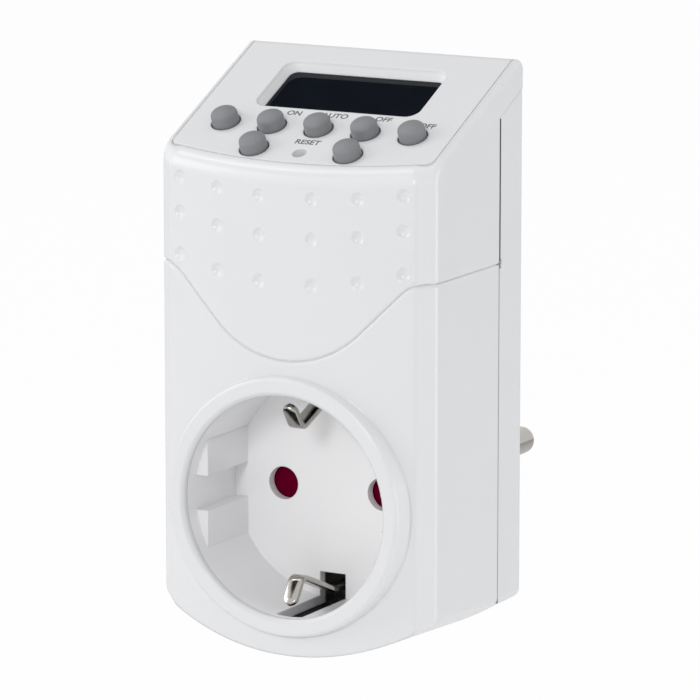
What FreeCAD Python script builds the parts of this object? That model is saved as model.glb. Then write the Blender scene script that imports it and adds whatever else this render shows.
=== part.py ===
import FreeCAD, Part

import math
import os

from FreeCAD import Placement, Rotation
from FreeCAD import Vector as V

# Plug-in timer switch. Millimetres. The origin is where the axis of the plug and of the socket
# crosses the rear face of the case: +X right seen from the front, +Y towards the wall, +Z up.

# Case
case_width = 51.6
case_depth = 35.35
top_height = 73.23
bottom_depth = 25.2
front_radius = 114.0
bottom_radius = 47.5
bottom_draft = 3.0
strip_width = 2.7
strip_depth = 2.2
wall = 2.0
slope_angle = 26.0
fold_radius = 3.5
edge_radius = 0.8
back_radius = 1.8
corner_radius = 1.8
rear_depth = 8.7
rear_inset = 0.1
seam_drop = 5.75
shell_gap = 0.1
overrun = 5.0
notch_width = 0.9
notch_height = 1.5

# Wavy joint between the two front covers
wave_low = 24.5
wave_high = 38.8
wave_mid_radius = 19.0
wave_end_radius = 5.5
wave_end_inset = 1.3
wave_edge_radius = 0.45

# Dimples above the wave: margin of the outer column, steps inwards, and for each row its height
# at the middle and how fast it climbs
dimple_margin = 4.55
dimple_steps = (7.9, 8.35)
dimple_rows = ((51.7, 0.0036), (45.05, 0.0054), (37.35, 0.0069))
dimple_radius = 1.15
dimple_depth = 0.45

# Sloping control fascia, measured along the slope from its front edge
fascia_side_margin = 0.4
fascia_front_margin = 0.5
fascia_thickness = 1.9
fascia_corner = 1.6
fascia_gap = 0.12
ledge_thickness = 1.2
ledge_width = 2.1
ledge_front = 3.05
ledge_back = 4.7

# Display
window_width = 29.2
window_front = 19.0
window_back_margin = 8.3
window_bevel = 0.9
window_bevel_depth = 1.6
window_corner = 1.4
lens_clearance = 0.06
lens_sink = 0.05
lens_flange = 2.0
lens_flange_thickness = 0.8
glass_side_lap = 1.85
glass_end_lap = 1.67
glass_thickness = 1.8
display_gap = 0.1
frame_wall = 1.3
zebra_width = 1.6
zebra_length = 28.0

# Keys
key_radius = 2.42
key_clearance = 0.16
key_rise = 1.9
key_dome = 0.75
key_side_margin = 4.54
key_upper_place = 12.67
key_lower_place = 6.04
key_travel = 1.0
key_flange_extra = 0.4
key_flange_thickness = 0.8
key_stem_radius = 1.6
key_gap = 0.3
reset_place = 5.6
reset_hole_radius = 1.2
reset_plunger_radius = 0.9
reset_travel = 0.25
reset_depth = 2.4
reset_switch_size = 2.6
reset_switch_shift = 0.8
reset_switch_height = 1.1

# Control board under the fascia
mat_thickness = 0.7
mat_inset = 1.1
mat_front = 3.6
mat_back = 16.5
mat_rim = 0.9
board_drop = 6.2
board_thickness = 1.2
board_side_gap = 2.1
board_front = 4.0
board_back_margin = 7.83
post_radius = 1.5
front_post_place = (15.5, 7.4)
rear_post_inset = (1.5, 6.9)
post_pilot = 2.0
board_corner = 1.0
small_screw_radius = 0.9
small_screw_reach = 1.8
small_head_radius = 1.7
small_head_height = 1.1
small_clearance = 0.1
small_head_clearance = 0.2
chip_radius = 4.6
chip_height = 1.4
chip_place = (-7.0, 12.0)
cell_radius = 6.0
cell_height = 4.6
cell_x = 10.0
cell_inset = 7.5

# Socket recess
recess_radius = 18.85
recess_depth = 17.5
ring_proud = 1.35
ring_radius = 21.7
ring_foot_extra = 0.7
ring_foot_depth = 3.4
ring_edge_radius = 0.5
ring_depth = 1.5
cup_wall = 1.6
cup_clearance = 0.1
floor_thickness = 1.8
pin_spacing = 19.0
pin_hole_radius = 2.82
block_face_x = 16.4
block_gap = 5.9
block_height = 6.25
block_depth = 13.4
earth_slot_width = 4.9
earth_slot_inner = 14.5
earth_slot_end = 2.6

# Shutter behind the recess floor
shutter_radius = 13.0
shutter_thickness = 1.6
shutter_gap = 0.3
shutter_hole_radius = 2.75
shutter_angle = 36.0
pivot_radius = 2.0
pivot_clearance = 0.05

# Contact carrier and contacts
carrier_radius = 15.5
carrier_rear_gap = 3.0
carrier_ear = 2.6
carrier_ear_place = 12.4
carrier_ear_depth = 2.5
spring_radius = 3.9
spring_wire = 0.6
spring_depth = 1.8
spring_clearance = 0.3
sleeve_radius = 3.2
sleeve_bore = 2.5
sleeve_slit = 0.9
sleeve_root = 2.0
strip_thickness = 0.6
strip_breadth = 4.0
strip_spacing = 1.0

# Earth strips
earth_width = 2.8
earth_thickness = 1.0
earth_height = 17.2
clip_apex = 12.6
clip_apex_depth = 5.5
clip_tip_depth = 2.6
clip_tip_height = 16.9
clip_bend = 1.3
clip_root_depth = 0.5

# Plug
pin_radius = 2.4
pin_shank_radius = 2.0
pin_length = 19.0
pin_tip = 1.6
pin_collar = 0.8
collar_front = 0.8
collar_back = 2.4
boss_radius = 18.5
boss_depth = 14.1
boss_wall = 2.0
boss_end_wall = 2.5
boss_edge_radius = 1.0
block_relief = 0.2
boss_gap = 0.1
boss_flange_width = 1.5
boss_flange_thickness = 1.0
pin_socket_wall = 1.6
pin_fit = 0.02

# Power board
power_front = 12.4
power_thickness = 1.6
power_side_gap = 0.5
power_low = 22.6
power_high = 51.0
stake_radius = 1.1
stake_post_radius = 2.2
stake_inset = (2.2, 2.6)
relay_size = (15.0, 15.5, 19.0)
relay_place = (-6.5, 35.6)
capacitor_size = (12.0, 9.0, 18.0)
capacitor_place = (9.4, 33.2)
smoothing_radius = 4.0
smoothing_length = 11.5
smoothing_place = (8.8, 46.6)
varistor_radius = 3.8
varistor_thickness = 3.6
varistor_place = (-8.5, 49.4)
fuse_radius = 1.3
fuse_length = 10.0
fuse_place = (-2.6, 24.2)
diode_radius = 1.1
diode_length = 3.6
diode_pitch = 3.0
diode_count = 3
diode_place = (-14.3, 47.0)
ribbon_width = 6.0
ribbon_x = -1.4
ribbon_thickness = 0.5
ribbon_lap = 4.0

# Case screws
screw_radius = 1.2
screw_head_radius = 2.3
screw_head_height = 1.8
screw_length = 17.0
screw_sink = 2.6
screw_fit = 0.03
screw_boss_radius = 3.0
rear_post_radius = 3.2
shank_clearance = 0.2
head_clearance = 0.3
lower_screw_inset = 5.8
lower_screw_z = -13.8
upper_screw_inset = 5.5
upper_screw_z = 44.0

# Worked out from the sizes above
half_width = case_width / 2
slope = math.radians(slope_angle)
slope_rise = math.tan(slope)
far = 150.0
wave_end_x = half_width - wave_end_inset
outer_dimple = half_width - dimple_margin
dimple_columns = (outer_dimple - sum(dimple_steps), outer_dimple - dimple_steps[0], outer_dimple)
fascia_width = case_width - 2 * (edge_radius + fascia_side_margin)
fascia_setback = fold_radius * math.tan(math.radians(90 - slope_angle) / 2) + fascia_front_margin
slope_length = case_depth / math.cos(slope)
window_height = slope_length - window_front - window_back_margin
window_place = window_front + window_height / 2
glass_width = window_width + 2 * glass_side_lap
glass_height = window_height + 2 * glass_end_lap
key_pitch = (fascia_width - 2 * key_side_margin - 2 * key_radius) / 4
board_width = case_width - 2 * (wall + board_side_gap)
board_back = slope_length - board_back_margin
mat_width = board_width - 2 * mat_inset
rear_post_place = (board_width / 2 - rear_post_inset[0], board_back - rear_post_inset[1])
cell_place = (cell_x, board_back - cell_inset)
front_y = -case_depth
ring_front = front_y - ring_proud
floor_y = ring_front + recess_depth
floor_back = floor_y + floor_thickness
shutter_front = floor_back + shutter_gap
shutter_back = shutter_front + shutter_thickness
carrier_front = shutter_back + shutter_gap
carrier_back = -wall - carrier_rear_gap
cup_radius = recess_radius + cup_wall
pin_x = pin_spacing / 2
seam_y = -rear_depth
board_top = -board_drop
board_under = board_top - board_thickness
key_hole_radius = key_radius + key_clearance
key_flange_radius = key_radius + key_flange_extra
flange_top = -fascia_thickness - key_gap
flange_under = flange_top - key_flange_thickness
mat_top = flange_under - key_travel - key_gap / 2
mat_under = mat_top - mat_thickness
stem_end = board_top + key_travel + key_gap
lens_top = -window_bevel_depth - lens_sink
lens_under = -fascia_thickness - display_gap - lens_flange_thickness
glass_top = lens_under - display_gap
glass_under = glass_top - glass_thickness
power_back_y = -power_front + power_thickness
rear_drop = rear_depth * math.tan(math.radians(bottom_draft)) + rear_inset
pin_strip_y = carrier_back + strip_spacing
screw_seat_y = -screw_sink - screw_head_height
boss_end_y = boss_depth - boss_end_wall
lower_screw_place = (half_width - lower_screw_inset, lower_screw_z)
upper_screw_place = (half_width - upper_screw_inset, upper_screw_z)
power_width = 2 * (upper_screw_place[0] - rear_post_radius - power_side_gap)
stake_x = power_width / 2 - stake_inset[0]
stake_heights = (power_low + stake_inset[1], power_high - stake_inset[1])


def slope_z(y):
    """Height of the sloping top at a depth."""
    return top_height + y * slope_rise


def on_panel(shape):
    """Moves a shape from panel coordinates (x, along the slope, out of the slope) into the case."""
    placed = shape.copy()
    panel = Placement(V(0, front_y, slope_z(front_y)), Rotation(V(1, 0, 0), slope_angle))
    placed.Placement = panel.multiply(shape.Placement)
    return placed


def box(x0, x1, y0, y1, z0, z1):
    """Box between two corners."""
    return Part.makeBox(x1 - x0, y1 - y0, z1 - z0, V(x0, y0, z0))


def rod(radius, x, z, y0, y1):
    """Round bar along the depth, from y0 back to y1."""
    return Part.makeCylinder(radius, y1 - y0, V(x, y0, z), V(0, 1, 0))


def tube(outer, inner, x, z, y0, y1):
    """Round tube along the depth."""
    return rod(outer, x, z, y0, y1).cut(rod(inner, x, z, y0, y1))


def stud(radius, x, s, n0, n1):
    """Round bar out of the panel, in panel coordinates."""
    return Part.makeCylinder(radius, n1 - n0, V(x, s, n0), V(0, 0, 1))


def plate(width, height, x, s, n0, n1, corner=0.0):
    """Rectangular plate with round corners, in panel coordinates."""
    slab = box(x - width / 2, x + width / 2, s - height / 2, s + height / 2, n0, n1)
    if corner <= 0:
        return slab
    upright = [e for e in slab.Edges if abs(e.Vertexes[0].Z - e.Vertexes[1].Z) > 1e-6]
    return slab.makeFillet(corner, upright)


def front_arc_y(x, inset=0.0):
    """Depth of the bowed front at a distance from the middle."""
    return front_y + inset + front_radius - math.sqrt(front_radius**2 - x * x)


def outline_points(width, inset):
    """Half outline of the case seen from above: side, edge strip, bowed front."""
    inner = width - strip_width
    strip_y = front_arc_y(inner, inset)
    return inner, strip_y, strip_y + strip_depth


def envelope(inset=0.0, side_inset=0.0, draft=bottom_draft, drop=0.0):
    """Outer shape of the whole case, with every wall brought in by inset."""
    width = half_width - inset - side_inset
    inner, strip_y, side_y = outline_points(width, inset)
    low = -far
    right = [V(width, -inset, low), V(width, side_y, low), V(inner, strip_y, low)]
    left = [V(-p.x, p.y, low) for p in reversed(right)]
    middle = Part.Arc(right[-1], V(0, front_y + inset, low), left[0]).toShape()
    edges = [Part.makeLine(a, b) for a, b in zip(right, right[1:])]
    edges.append(middle)
    edges += [Part.makeLine(a, b) for a, b in zip(left, left[1:])]
    edges.append(Part.makeLine(left[-1], right[0]))
    plan = Part.Face(Part.Wire(edges)).extrude(V(0, 0, 2 * far))
    tilt = math.radians(draft)
    radius = bottom_radius - inset
    axis_z = bottom_radius - bottom_depth - case_depth * math.tan(math.radians(bottom_draft)) + drop
    run = V(0, -math.cos(tilt), math.sin(tilt))
    start = V(0, 0, axis_z) - run * overrun
    belly = Part.makeCylinder(radius, case_depth + 2 * overrun, start, run)
    body = plan.common(belly.fuse(box(-far, far, -far, far, 0, far)))
    top = slope_z(0) - inset / math.cos(slope)
    over = [V(-far, y, top + y * slope_rise) for y in (far, -far)]
    over += [V(-far, -far, 2 * far), V(-far, far, 2 * far)]
    above = Part.Face(Part.makePolygon(over + over[:1])).extrude(V(2 * far, 0, 0))
    return body.cut(above).removeSplitter()


def picked(shape, test, points=5):
    """Edges of a shape whose every sampled point passes a test."""
    real = [e for e in shape.Edges if not e.Degenerated]
    return [e for e in real if all(test(p) for p in e.discretize(points))]


def on_slope(p):
    """True for a point of the sloping top."""
    return abs(p.z - slope_z(p.y)) < 1e-3


def rounded_envelope(side_inset=0.0, draft=bottom_draft, drop=0.0):
    """Outer shape with the fold, the slope's back and side edges, the rear edges and lower corners rounded."""
    width = half_width - side_inset
    shape = envelope(0.0, side_inset, draft, drop)

    def on_side(p):
        return abs(abs(p.x) - width) < 1e-3

    low = picked(shape, lambda p: on_side(p) and p.z < 0)
    low = [e for e in low if e.BoundBox.YLength > case_depth / 2]
    shape = shape.makeFillet(corner_radius, low)
    fold = picked(shape, lambda p: on_slope(p) and p.y < -case_depth / 2)
    fold = [e for e in fold if e.BoundBox.XLength > 1e-3]
    shape = shape.makeFillet(fold_radius, fold)
    back = picked(shape, lambda p: on_slope(p) and abs(p.y) < 1e-3)
    shape = shape.makeFillet(back_radius, back)
    high = picked(shape, lambda p: on_side(p) and p.z > slope_z(front_y) - 2 * fold_radius)
    high = [e for e in high if e.BoundBox.YLength > 1e-3 and e.BoundBox.ZLength > 1e-3]
    rear = picked(shape, lambda p: abs(p.y) < 1e-3 and p.z < slope_z(0) - back_radius)
    return shape.makeFillet(edge_radius, high + rear)


def wave_region(lift, upward):
    """Everything above (or below) the wavy joint line, moved up by lift."""
    low_centre = V(0, 0, wave_low + wave_mid_radius)
    high_centre = V(wave_end_x, 0, wave_high - wave_end_radius)
    between = high_centre - low_centre
    turn = math.acos((wave_mid_radius + wave_end_radius) / between.Length)
    angle = math.atan2(between.z, between.x) - turn
    out = V(math.cos(angle), 0, math.sin(angle))
    half = math.atan2(out.x, -out.z) / 2
    first = low_centre + out * wave_mid_radius
    last = high_centre - out * wave_end_radius
    crest = high_centre + V(0, 0, wave_end_radius)
    bend = high_centre + V(-math.sin(half), 0, math.cos(half)) * wave_end_radius
    right = [first, last, bend, crest, V(far, 0, wave_high)]
    left = [V(-p.x, 0, p.z) for p in right]
    edges = [
        Part.makeLine(left[4], left[3]),
        Part.Arc(left[3], left[2], left[1]).toShape(),
        Part.makeLine(left[1], left[0]),
        Part.Arc(left[0], V(0, 0, wave_low), right[0]).toShape(),
        Part.makeLine(right[0], right[1]),
        Part.Arc(right[1], right[2], right[3]).toShape(),
        Part.makeLine(right[3], right[4]),
    ]
    end_z = far if upward else -far
    edges.append(Part.makeLine(right[4], V(far, 0, end_z)))
    edges.append(Part.makeLine(V(far, 0, end_z), V(-far, 0, end_z)))
    edges.append(Part.makeLine(V(-far, 0, end_z), left[4]))
    region = Part.Face(Part.Wire(edges)).extrude(V(0, 2 * far, 0))
    region.translate(V(0, -far, lift))
    return region


def rear_region(shift):
    """Space of the rear shell: behind the seam and below the slanting joint, brought in by shift."""
    corner_y = seam_y + shift
    top = top_height - seam_drop - shift / math.cos(slope)
    points = [
        V(-far, corner_y, -far),
        V(-far, corner_y, top + corner_y * slope_rise),
        V(-far, far, top + far * slope_rise),
        V(-far, far, -far),
    ]
    return Part.Face(Part.makePolygon(points + points[:1])).extrude(V(2 * far, 0, 0))


def fascia_region(grow):
    """Outline of the fascia, in panel coordinates, grown by a gap."""
    half = fascia_width / 2 + grow
    bow = (front_arc_y(half) - front_y) / math.cos(slope)
    middle = fascia_setback - grow
    corners = [V(-half, middle + bow, 0), V(half, middle + bow, 0), V(half, far, 0), V(-half, far, 0)]
    edges = [Part.Arc(corners[0], V(0, middle, 0), corners[1]).toShape()]
    edges += [Part.makeLine(a, b) for a, b in zip(corners[1:], corners[2:] + corners[:1])]
    slab = Part.Face(Part.Wire(edges)).extrude(V(0, 0, far))
    front = picked(slab, lambda p: p.y < fascia_setback + 2 * bow)
    return slab.makeFillet(fascia_corner, [e for e in front if e.BoundBox.ZLength > far / 2])


def key_places():
    """Centre of every key, left to right, upper row first."""
    upper = [((i - 2) * key_pitch, key_upper_place) for i in range(5)]
    return upper + [(-key_pitch, key_lower_place), (key_pitch, key_lower_place)]


def screw_places(place):
    """A screw's place, and its mirror image on the left."""
    return [(-place[0], place[1]), place]


def mirrored(shape):
    """The same piece on the other side of the socket axis, top for bottom."""
    return shape.mirror(V(0, 0, 0), V(0, 0, 1))


def save(name, shape):
    """Writes one node and prints its volume."""
    if not shape.isValid():
        raise ValueError(name + " is not a valid solid")
    solids = shape.Solids
    piece = solids[0] if len(solids) == 1 else Part.makeCompound(solids)
    piece.exportStep("parts/" + name + ".step")
    print(f"{name:24s} solids {len(solids)}  volume {piece.Volume:9.1f}")


def front_cover(outer, cavity, upward):
    """One of the two front covers as a plain shell, cut along the wave."""
    region = wave_region(shell_gap / 2 if upward else -shell_gap / 2, upward)
    shell = outer.cut(rear_region(-shell_gap)).common(region)

    def wave_side(p):
        on_line = abs(p.y - seam_y) > 2 * shell_gap
        return on_line and p.z < wave_high + shell_gap and p.z > wave_low - shell_gap

    rim = [e for e in picked(shell, wave_side, 7) if e.BoundBox.ZLength < wave_high and is_rim(e)]
    return shell.makeFillet(wave_edge_radius, rim).cut(cavity)


def is_rim(edge):
    """True for an outer edge that lies on the wavy joint."""
    middle = edge.valueAt((edge.FirstParameter + edge.LastParameter) / 2)
    if edge.BoundBox.YLength > rear_depth and abs(middle.x) < half_width - 1e-3:
        return False
    return edge.BoundBox.XLength + edge.BoundBox.YLength > 1e-3


def cover_screw_bosses(place, cavity):
    """Two screw bosses that reach back from a front cover to the seam."""
    bosses = [rod(screw_boss_radius, x, z, front_y, seam_y) for x, z in screw_places(place)]
    return bosses[0].fuse(bosses[1]).common(cavity)


def pilot_holes(place):
    """Holes in a cover's two bosses that the case screws cut their threads in."""
    deep = screw_seat_y - screw_length - screw_radius
    holes = [rod(screw_radius + screw_fit, x, z, deep, seam_y + wall) for x, z in screw_places(place)]
    return holes[0].fuse(holes[1])


def dimple_tools():
    """Shallow round dimples in three bowed rows."""
    ball = (dimple_radius**2 + dimple_depth**2) / (2 * dimple_depth)
    tools = []
    for height, climb in dimple_rows:
        for column in dimple_columns:
            for x in (-column, column):
                centre = V(x, front_arc_y(x) - ball + dimple_depth, height + climb * x * x)
                tools.append(Part.makeSphere(ball, centre))
    return tools


def upper_front_cover(outer, cavity):
    shell = front_cover(outer, cavity, True)
    under = -fascia_thickness - fascia_gap
    ledge = on_panel(box(-far, far, -far, far, under - ledge_thickness, under))
    shell = shell.fuse(ledge.common(cavity)).removeSplitter()
    pocket = fascia_region(fascia_gap)
    pocket.translate(V(0, 0, under))
    shell = shell.cut(on_panel(pocket))
    inner = fascia_width / 2 - ledge_width
    back = case_depth / math.cos(slope) - ledge_back
    opening = box(-inner, inner, ledge_front, back, -far / 2, far / 2)
    shell = shell.cut(on_panel(opening).common(cavity_block()))
    shell = shell.fuse(cover_screw_bosses(upper_screw_place, cavity))
    shell = shell.cut(pilot_holes(upper_screw_place))
    for tool in dimple_tools():
        shell = shell.cut(tool)
    return shell


def cavity_block():
    """The layer under the fascia in which the ledge is cut open."""
    under = -fascia_thickness - fascia_gap
    return on_panel(box(-far, far, -far, far, under - 2 * ledge_thickness, under))


def ring_solid():
    """Raised ring round the socket mouth, tapering to its front."""
    foot_y = ring_front + ring_foot_depth
    cone = Part.makeCone(
        ring_radius + ring_foot_extra, ring_radius, ring_foot_depth, V(0, foot_y, 0), V(0, -1, 0)
    )
    rim = [e for e in cone.Edges if abs(e.BoundBox.YMin - ring_front) < 1e-6 and e.BoundBox.YLength < 1e-6]
    return cone.makeFillet(ring_edge_radius, rim)


def lower_front_cover(outer, cavity):
    shell = front_cover(outer, cavity, False)
    shell = shell.fuse(ring_solid())
    mouth = rod(recess_radius, 0, 0, ring_front - overrun, floor_y)
    seat = rod(cup_radius + cup_clearance, 0, 0, ring_front + ring_depth, seam_y + wall)
    bevel = Part.makeCone(
        recess_radius + ring_edge_radius, recess_radius, ring_edge_radius, V(0, ring_front, 0), V(0, 1, 0)
    )
    shell = shell.cut(mouth).cut(seat).cut(bevel)
    shell = shell.fuse(cover_screw_bosses(lower_screw_place, cavity))
    shell = shell.cut(pilot_holes(lower_screw_place))
    return shell.cut(seat)


def rear_shell():
    """Rear shell with its screw posts, its board posts and the round hole for the plug base."""
    outer = rounded_envelope(rear_inset, 0.0, rear_drop)
    shell = outer.common(rear_region(0.0)).cut(envelope(wall, rear_inset, 0.0, rear_drop))
    shell = shell.cut(rod(boss_radius + boss_gap, 0, 0, -far, far))
    for place in (lower_screw_place, upper_screw_place):
        for x, z in screw_places(place):
            shell = shell.fuse(rod(rear_post_radius, x, z, seam_y, -wall / 2))
            shell = shell.cut(rod(screw_head_radius + head_clearance, x, z, screw_seat_y, overrun))
            shell = shell.cut(rod(screw_radius + shank_clearance, x, z, seam_y - overrun, overrun))
    for x in (-stake_x, stake_x):
        for z in stake_heights:
            shell = shell.fuse(rod(stake_post_radius, x, z, power_back_y, -wall / 2))
            shell = shell.fuse(rod(stake_radius, x, z, -power_front, -wall / 2))
    for side in (-1, 1):
        xs = sorted((side * (half_width - notch_width), side * far))
        z = wave_high
        notch = box(xs[0], xs[1], seam_y, seam_y + notch_width, z - notch_height / 2, z + notch_height / 2)
        shell = shell.cut(notch)
    return shell


def plug_base():
    """Hollow round boss that goes into the wall socket, held by its flange behind the rear wall."""
    flange_y = -wall - boss_flange_thickness
    base = rod(boss_radius, 0, 0, flange_y, boss_depth)
    end = [e for e in base.Edges if abs(e.BoundBox.YMin - boss_depth) < 1e-6]
    base = base.makeFillet(boss_edge_radius, end)
    inner = block_gap / 2 - block_relief
    outer = block_gap / 2 + block_height + block_relief
    for side in (-1, 1):
        for way in (-1, 1):
            xs = sorted((side * (block_face_x - block_relief), side * far))
            zs = sorted((way * inner, way * outer))
            base = base.cut(box(xs[0], xs[1], 0, far, zs[0], zs[1]))
    base = base.fuse(rod(boss_radius + boss_flange_width, 0, 0, flange_y, -wall))
    inner_x = block_face_x - block_relief - boss_wall
    side_walls = box(-inner_x, inner_x, -far, far, -far, far)
    base = base.cut(rod(boss_radius - boss_wall, 0, 0, -far, boss_end_y).common(side_walls))
    for x in (-pin_x, pin_x):
        base = base.fuse(rod(pin_shank_radius + pin_socket_wall, x, 0, collar_back, boss_end_y))
    for x in (-pin_x, pin_x):
        base = base.cut(rod(pin_shank_radius + pin_fit, x, 0, 0, far))
    low = earth_height - earth_thickness / 2 - shell_gap
    half = earth_slot_width / 2
    inside = box(-half, half, -far, 0, low, boss_radius)
    outside = box(-half, half, 0, boss_depth - boss_end_wall / 2, low, far)
    slot = inside.fuse(outside)
    return base.cut(slot).cut(mirrored(slot))


def socket_cup():
    """Recess of the socket: round wall, floor, guide blocks, pin holes and earth slots."""
    mouth_y = ring_front + ring_depth
    cup = tube(cup_radius, recess_radius, 0, 0, mouth_y, floor_back)
    cup = cup.fuse(rod(cup_radius, 0, 0, floor_y, floor_back))
    inside = rod(cup_radius, 0, 0, floor_y - block_depth, floor_back)
    for side in (-1, 1):
        for way in (-1, 1):
            xs = sorted((side * block_face_x, side * cup_radius))
            zs = sorted((way * block_gap / 2, way * (block_gap / 2 + block_height)))
            block = box(xs[0], xs[1], floor_y - block_depth, floor_back, zs[0], zs[1])
            cup = cup.fuse(block.common(inside))
    for place in ((1, 1), (-1, -1)):
        x = place[0] * carrier_ear_place
        z = place[1] * carrier_ear_place
        ear = rod(carrier_ear, x, z, floor_y, carrier_front)
        cup = cup.fuse(ear.common(rod(cup_radius, 0, 0, -far, far)))
        cup = cup.cut(rod(small_screw_radius, x, z, floor_y + floor_thickness / 2, carrier_front))
    for x in (-pin_x, pin_x):
        cup = cup.cut(rod(pin_hole_radius, x, 0, floor_y - overrun, floor_back + overrun))
    half = earth_slot_width / 2
    slot_front = ring_front + earth_slot_end
    slot = box(-half, half, slot_front, floor_back, earth_slot_inner, cup_radius + overrun)
    return cup.cut(slot).cut(mirrored(slot))


def child_shutter():
    """Disc that covers both pin holes at rest, with two holes turned away from them."""
    disc = rod(shutter_radius, 0, 0, shutter_front, shutter_back)
    disc = disc.cut(rod(pivot_radius + pivot_clearance, 0, 0, -far, far))
    angle = math.radians(shutter_angle)
    for side in (-1, 1):
        x = side * pin_x * math.cos(angle)
        z = side * pin_x * math.sin(angle)
        disc = disc.cut(rod(shutter_hole_radius, x, z, -far, far))
    return disc


def contact_carrier():
    """Insulating block behind the shutter that holds the two contacts and the shutter's pivot."""
    block = rod(carrier_radius, 0, 0, carrier_front, carrier_back)
    for way in (-1, 1):
        place = way * carrier_ear_place
        ear = rod(carrier_ear, place, place, carrier_front, carrier_front + carrier_ear_depth)
        block = block.fuse(ear.common(rod(cup_radius, 0, 0, -far, far)))
        seat = carrier_front + carrier_ear_depth
        block = block.cut(rod(small_head_radius + small_head_clearance, place, place, seat, far))
        block = block.cut(rod(small_screw_radius + small_clearance, place, place, -far, far))
    block = block.fuse(rod(pivot_radius, 0, 0, floor_back + shell_gap, carrier_back))
    spring_back = carrier_front + spring_depth
    block = block.cut(tube(spring_radius + spring_clearance, pivot_radius, 0, 0, carrier_front, spring_back))
    for x in (-pin_x, pin_x):
        block = block.cut(rod(sleeve_radius + shell_gap, x, 0, carrier_front, carrier_back))
    return block


def shutter_spring():
    """Return spring of the shutter, lying in a round recess of the carrier."""
    back = carrier_front + spring_depth
    return tube(spring_radius, spring_radius - spring_wire, 0, 0, back - 2 * spring_wire, back)


def contact_sleeve(x):
    """Round contact sleeve with a slit, in the carrier."""
    sleeve = tube(sleeve_radius, sleeve_bore, x, 0, carrier_front + shell_gap, carrier_back)
    half = sleeve_slit / 2
    return sleeve.cut(box(x - half, x + half, -far, carrier_back - sleeve_root, 0, far))


def board_strip(x, y, top):
    """Flat conductor from a pin or contact up to the power board."""
    tongue = box(x - strip_breadth / 2, x + strip_breadth / 2, y, y + strip_thickness, 0, top)
    round_end = rod(sleeve_radius, x, 0, y, y + strip_thickness)
    arm = box(x - strip_breadth / 2, x + strip_breadth / 2, power_back_y, y, top - strip_thickness, top)
    return tongue.fuse(round_end).fuse(arm).removeSplitter()


def earth_strip():
    """Earth strip: sprung clip in the recess, then straight back into the slot of the plug boss."""
    tip = V(0, ring_front + clip_tip_depth, clip_tip_height)
    apex = V(0, ring_front + clip_apex_depth, clip_apex)
    root = V(0, floor_y - clip_root_depth, earth_height)
    end = V(0, boss_end_y, earth_height)
    half = earth_thickness / 2
    path = [tip, apex, root, end]
    outer, inner = [], []
    for i, point in enumerate(path):
        before = (point - path[i - 1]).normalize() if i else (path[1] - point).normalize()
        after = (path[i + 1] - point).normalize() if i + 1 < len(path) else before
        across = V(0, -(before.z + after.z), before.y + after.y).normalize()
        reach = half / V(0, -before.z, before.y).dot(across)
        outer.append(point + across * reach)
        inner.append(point - across * reach)
    loop = outer + inner[::-1]
    face = Part.Face(Part.makePolygon(loop + loop[:1]))
    strip = face.extrude(V(earth_width, 0, 0))
    strip.translate(V(-earth_width / 2, 0, 0))
    bends = [e for e in strip.Edges if e.BoundBox.XLength > earth_width / 2 and is_apex(e, apex)]
    lowest = min(e.BoundBox.ZMin for e in bends)
    return strip.makeFillet(clip_bend, [e for e in bends if e.BoundBox.ZMin <= lowest + 1e-6])


def is_apex(edge, apex):
    """True for an edge at the sprung bend of an earth strip."""
    middle = edge.CenterOfMass
    return abs(middle.y - apex.y) < earth_thickness and abs(middle.z - apex.z) < earth_thickness


def earth_link():
    """Strap that joins the two earth strips behind the carrier."""
    reach = earth_height - earth_thickness / 2
    back = carrier_back + strip_thickness + 2 * shell_gap
    return box(-strip_breadth / 2, strip_breadth / 2, back, back + strip_thickness, -reach, reach)


def plug_pin(x, inner_end):
    """Round plug pin with a rounded tip, and a thinner shank with a collar inside the boss."""
    tip = boss_depth + pin_length
    pin = rod(pin_radius, x, 0, boss_depth, tip)
    nose = [e for e in pin.Edges if abs(e.BoundBox.YMin - tip) < 1e-6]
    pin = pin.makeFillet(pin_tip, nose)
    pin = pin.fuse(rod(pin_shank_radius, x, 0, inner_end, boss_depth))
    return pin.fuse(rod(pin_shank_radius + pin_collar, x, 0, collar_front, collar_back))


def control_fascia():
    """Sloping panel with the beveled window, the key holes and the reset hole."""
    block = fascia_region(0.0)
    block.translate(V(0, 0, -far))
    block = on_panel(block).common(box(-far, far, -far, 0, -far, far))
    back = picked(block, lambda p: on_slope(p) and abs(p.y) < 1e-3)
    block = block.makeFillet(back_radius, back)
    panel = block.common(on_panel(box(-far, far, -far, far, -fascia_thickness, far)))
    tools = [stud(key_hole_radius, x, s, -far, far) for x, s in key_places()]
    tools.append(stud(reset_hole_radius, 0, reset_place, -far, far))
    tools.append(window_tool())
    for tool in tools:
        panel = panel.cut(on_panel(tool))
    for x, s in post_centres():
        post = stud(post_radius, x, s, board_top, -fascia_thickness)
        post = post.cut(stud(small_screw_radius, x, s, board_top, board_top + post_pilot))
        panel = panel.fuse(on_panel(post))
    return panel


def post_centres():
    """Centres of the four posts that carry the control board."""
    return [(way * x, s) for x, s in (front_post_place, rear_post_place) for way in (-1, 1)]


def window_tool():
    """Window opening: a straight part below and a bevel that widens to the surface."""
    inner = plate(window_width, window_height, 0, window_place, -far, far, window_corner)
    wires = []
    for height in (-window_bevel_depth, overrun):
        grow = (height + window_bevel_depth) * window_bevel / window_bevel_depth
        ring = plate(
            window_width + 2 * grow, window_height + 2 * grow, 0, window_place, height, height + overrun,
            window_corner + grow,
        )
        base = min(ring.Faces, key=lambda f: f.CenterOfMass.z)
        wires.append(base.OuterWire)
    return inner.fuse(Part.makeLoft(wires, True, True))


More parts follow.
